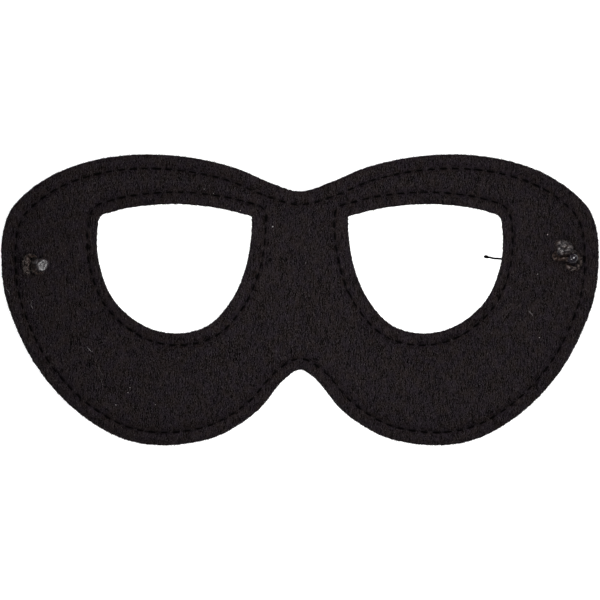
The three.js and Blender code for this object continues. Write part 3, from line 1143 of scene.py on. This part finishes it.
def fibre_tree(name, attribute):
    """Scatters fine tapering fibres over the part of a piece that an attribute marks."""
    fibres, given, done = new_group(
        name,
        "GeometryNodeTree",
        [
            ("Cloth", "Geometry", None),
            ("Fibres per Square Metre", "Float", 8e6),
            ("Fibre Length", "Float", 1.0 * mm),
            ("Fibre Width", "Float", 0.08 * mm),
            ("Stand", "Float", 0.2),
            ("Spread", "Float", 0.2),
            ("Side", "Float", 0),
            ("Seed", "Int", 1),
            ("Finish", "Material", None),
        ],
        [("Fibres", "Geometry")],
    )
    marked = made(fibres, "GeometryNodeInputNamedAttribute", {"Name": attribute}, data_type="FLOAT")
    where = made(fibres, "GeometryNodeInputPosition")
    parts = made(fibres, "ShaderNodeSeparateXYZ", {0: where})
    sided = maths(fibres, "MULTIPLY", parts, given["Side"])
    kept = maths(fibres, "GREATER_THAN", sided, 0)
    share = maths(fibres, "MULTIPLY", marked, kept)
    thick = maths(fibres, "MULTIPLY", share, given["Fibres per Square Metre"])
    roots = put(fibres, "GeometryNodeDistributePointsOnFaces",
                {"Mesh": given["Cloth"], "Density": thick, "Seed": given["Seed"]})
    fibre = made(fibres, "GeometryNodeMeshCone", {"Vertices": 3, "Side Segments": 1, "Fill Segments": 1,
                                                  "Radius Top": 0, "Radius Bottom": 0.5, "Depth": 1})
    slant = maths(fibres, "MULTIPLY", given["Spread"], -1)
    angle = chosen(fibres, slant, given["Spread"], given["Seed"])
    across = maths(fibres, "SINE", angle)
    brushed = maths(fibres, "COSINE", angle)
    other_seed = maths(fibres, "ADD", given["Seed"], 31)
    toss = chosen(fibres, -0.8, 1.2, other_seed)
    sign = maths(fibres, "SIGN", toss)
    up_or_down = maths(fibres, "MULTIPLY", brushed, sign)
    lie = made(fibres, "ShaderNodeCombineXYZ", {0: across, 1: up_or_down})
    third_seed = maths(fibres, "ADD", given["Seed"], 57)
    rise = chosen(fibres, 0.15, 1, third_seed)
    lift = maths(fibres, "MULTIPLY", rise, given["Stand"])
    raised = vectors(fibres, "SCALE", roots.outputs["Normal"], lift)
    way = vectors(fibres, "ADD", lie, raised)
    turned = made(fibres, "FunctionNodeAxesToRotation", {0: way, 1: roots.outputs["Normal"]},
                  primary_axis="Z", secondary_axis="X")
    least = maths(fibres, "MULTIPLY", given["Fibre Length"], shortest_fibre)
    length = chosen(fibres, least, given["Fibre Length"], third_seed)
    cropped = maths(fibres, "MULTIPLY", length, marked)
    size = made(fibres, "ShaderNodeCombineXYZ", {0: given["Fibre Width"], 1: given["Fibre Width"],
                                                 2: cropped})
    scattered(fibres, done, roots.outputs["Points"], fibre, turned, size, given["Finish"])
    return fibres


nap_tree = fibre_tree("felt_nap", "nap")
edge_tree = fibre_tree("edge_fuzz", "cut_edge")
fuzz_pieces = []
for name, side, seed in (("left_nap", -1.0, 5), ("right_nap", 1.0, 6)):
    mesh = grow(felt_mask, nap_tree, Side=side, Seed=seed, Finish=nap_finish)
    fuzz_pieces.append(add_piece(name, mesh, nap_finish))
for name, side, seed in (("left_edge_fuzz", -1.0, 8), ("right_edge_fuzz", 1.0, 9)):
    mesh = grow(felt_mask, edge_tree, Side=side, Seed=seed, Finish=nap_finish, Stand=1.6, Spread=3.1,
                Fibre_Length=0.75 * mm, Fibre_Width=0.05 * mm, Fibres_per_Square_Metre=3e6)
    fuzz_pieces.append(add_piece(name, mesh, nap_finish))

# Frayed end
# The cut end of the left knot's elastic has come undone: the fine threads of its cover stand out of it
# in a dull grey-brown fuzz.
fray_start = 0.84
fray_run = 0.05
frayed_finish = mottled_material(
    "frayed_cover", 2400, 2, (0.5, (0.004, 0.003, 0.003)), (0.66, (0.22, 0.18, 0.165)),
    Roughness=0.7, Specular_IOR_Level=0.15,
)[0]

frayed = np.clip((np.linspace(0, 1, knot_rings) - fray_start) / fray_run, 0, 1)
frayed = np.concatenate([np.repeat(frayed, knot_sides), [0, 1]])
knots[0].data.attributes.new("frayed", "FLOAT", "POINT").data.foreach_set("value", frayed)
mesh = grow(knots[0], fibre_tree("frayed_threads", "frayed"), Side=-1.0, Seed=4, Finish=frayed_finish,
            Stand=0.5, Spread=0.9, Fibre_Length=1.1 * mm, Fibre_Width=0.12 * mm,
            Fibres_per_Square_Metre=1.4e7)
frayed_end = add_piece("frayed_end", mesh, frayed_finish)
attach(frayed_end, "root")

# Lint
# The pale specks and curled hairs that black felt picks up, a long wool hair that has worked loose,
# and one dark hair that hangs from the edge of the right eye opening down to the table.
# A speck row is its place and its width, in mm.
lint_specks = [
    (-55.45, -31.7, 0.46),
    (-43.55, -31.6, 0.3),
    (-51.8, -28.0, 0.32),
    (71.6, 7.65, 0.3),
    (72.1, -11.4, 0.3),
    (-28.9, 33.3, 0.34),
    (-26.1, 32.0, 0.28),
    (-8.2, 22.0, 0.42),
    (-18.0, 26.8, 0.26),
    (74.6, 19.6, 0.34),
    (-51.2, -26.5, 0.24),
    (1.75, 11.2, 0.3),
    (1.65, 10.8, 0.26),
]
pale_hairs = [
    [(-64.3, -14.0), (-63.5, -14.9), (-62.8, -15.6), (-62.3, -15.5)],
    [(69.0, -3.4), (69.4, -4.0), (69.9, -4.4), (70.0, -5.0)],
    [(86.6, -5.2), (87.9, -5.9), (88.8, -5.7)],
    [(-88.5, 3.2), (-87.7, 2.4), (-87.6, 1.2)],
    [(-80.3, -2.9), (-81.0, -1.5), (-80.6, -0.2)],
]
wool_hair = [(-60.9, -19.2), (-60.5, -20.7), (-59.7, -22.4), (-59.9, -23.9), (-59.3, -25.9)]
loose_hair = [
    (61.2, 12.2, 1.7),
    (60.0, 12.35, 1.2),
    (58.4, 12.45, 0.5),
    (57.2, 12.75, 0.3),
    (56.3, 12.7, 0.25),
    (55.6, 12.95, 0.25),
    (56.0, 13.2, 0.3),
    (56.8, 12.95, 0.3),
]

speck_lift = 0.12 * mm
hair_steps = 24

lint_finish = mottled_material(
    "pale_lint", 1500, 1, (0.35, (0.07, 0.062, 0.066)), (0.65, (0.34, 0.31, 0.32)),
    Roughness=0.8, Specular_IOR_Level=0.2,
)[0]


def hair_mesh(name, lines, radius, blunt):
    """Fine round hairs that taper to both ends, down to a blunt end."""
    drawing = bpy.data.curves.new(name, "CURVE")
    drawing.dimensions = "3D"
    drawing.bevel_depth = radius
    drawing.bevel_resolution = 1
    drawing.use_fill_caps = True
    for line in lines:
        line = evenly(smooth_line(line), hair_steps)
        spline = drawing.splines.new("POLY")
        spline.points.add(hair_steps - 1)
        for k, (point, (x, y, z)) in enumerate(zip(spline.points, line)):
            point.co = (x, y, z, 1)
            point.radius = blunt + (1 - blunt) * math.sin(math.pi * k / (hair_steps - 1)) ** 0.5
    holder = bpy.data.objects.new(name, drawing)
    bpy.context.scene.collection.objects.link(holder)
    mesh = bpy.data.meshes.new_from_object(holder.evaluated_get(bpy.context.evaluated_depsgraph_get()))
    bpy.data.objects.remove(holder)
    bpy.data.curves.remove(drawing)
    return mesh


def on_face(places, lift):
    places = np.array(places) * mm
    return np.column_stack([places, face_height(places) + lift])


chance = random.Random(12)
specks = bmesh.new()
for x, y, size in lint_specks:
    middle = on_face([(x, y)], speck_lift)[0]
    turn = mathutils.Euler([chance.random() * 3 for _ in range(3)]).to_matrix().to_4x4()
    shape = mathutils.Matrix.Diagonal((chance.uniform(0.8, 1.3), chance.uniform(0.6, 0.9), 0.6, 1))
    made = bmesh.ops.create_icosphere(specks, subdivisions=2, radius=size * mm / 2,
                                      matrix=mathutils.Matrix.Translation(middle) @ turn @ shape)
    for vertex in made["verts"]:
        vertex.co += mathutils.Vector([chance.gauss(0, 0.05) * size * mm for _ in range(3)])
speck_mesh = bpy.data.meshes.new("lint_specks")
specks.to_mesh(speck_mesh)
specks.free()
lint_pieces = [add_piece("lint_specks", speck_mesh, lint_finish)]
for name, lines, radius, blunt, finish in (
    ("pale_hairs", [on_face(line, speck_lift) for line in pale_hairs], 0.028 * mm, 0.25, lint_finish),
    ("wool_hair", [on_face(wool_hair, 0.16 * mm)], 0.1 * mm, 0.5, nap_finish),
    ("loose_hair", [np.array(loose_hair) * mm], 0.3 * mm, 0.9, thread_finish),
):
    lint_pieces.append(add_piece(name, hair_mesh(name, lines, radius, blunt), finish))

for piece in stitching + fuzz_pieces + lint_pieces:
    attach(piece, "root")

# Table and light
# A plain pale table just under the felt and an even white room. One large soft lamp hangs close above
# the mask, a smaller one stands to the right of the brow, and a third fills from the left.
table_level = -0.02 * mm
table_reach = 3
corners = [
    (x * table_reach, y * table_reach, table_level) for x, y in ((-1, -1), (1, -1), (1, 1), (-1, 1))
]
table_mesh = plain_mesh("table", corners, [(0, 1, 2, 3)], False)
table_finish, tree, shader = new_material("pale_table", Base_Color=(0.3, 0.3, 0.3, 1), Roughness=0.9,
                                          Specular_IOR_Level=0.1, Emission_Color=(1, 1, 1, 1),
                                          Emission_Strength=0.97)
table = add_piece("table", table_mesh, table_finish)

room = bpy.data.worlds.new("white_room")
room.use_nodes = True
room.node_tree.nodes["Background"].inputs["Color"].default_value = (1, 1, 1, 1)
room.node_tree.nodes["Background"].inputs["Strength"].default_value = 0.12
bpy.context.scene.world = room
bpy.context.scene.view_settings.view_transform = "Standard"


def soft_lamp(name, place, size, power):
    lamp_data = bpy.data.lights.new(name, "AREA")
    lamp_data.shape = "RECTANGLE"
    lamp_data.size, lamp_data.size_y = size
    lamp_data.energy = power
    lamp = bpy.data.objects.new(name, lamp_data)
    lamp.location = place
    lamp.rotation_euler = mathutils.Vector(place).to_track_quat("Z", "Y").to_euler()
    lamp.visible_camera = False
    bpy.context.scene.collection.objects.link(lamp)


soft_lamp("main_lamp", (0.02, 0.0, 0.19), (0.18, 0.14), 0.82)
soft_lamp("right_lamp", (0.33, 0.2, 0.22), (0.14, 0.14), 0.8)
soft_lamp("fill_lamp", (-0.5, -0.2, 0.6), (0.4, 0.4), 0.35)

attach(felt_mask, "root")
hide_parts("felt_mask")
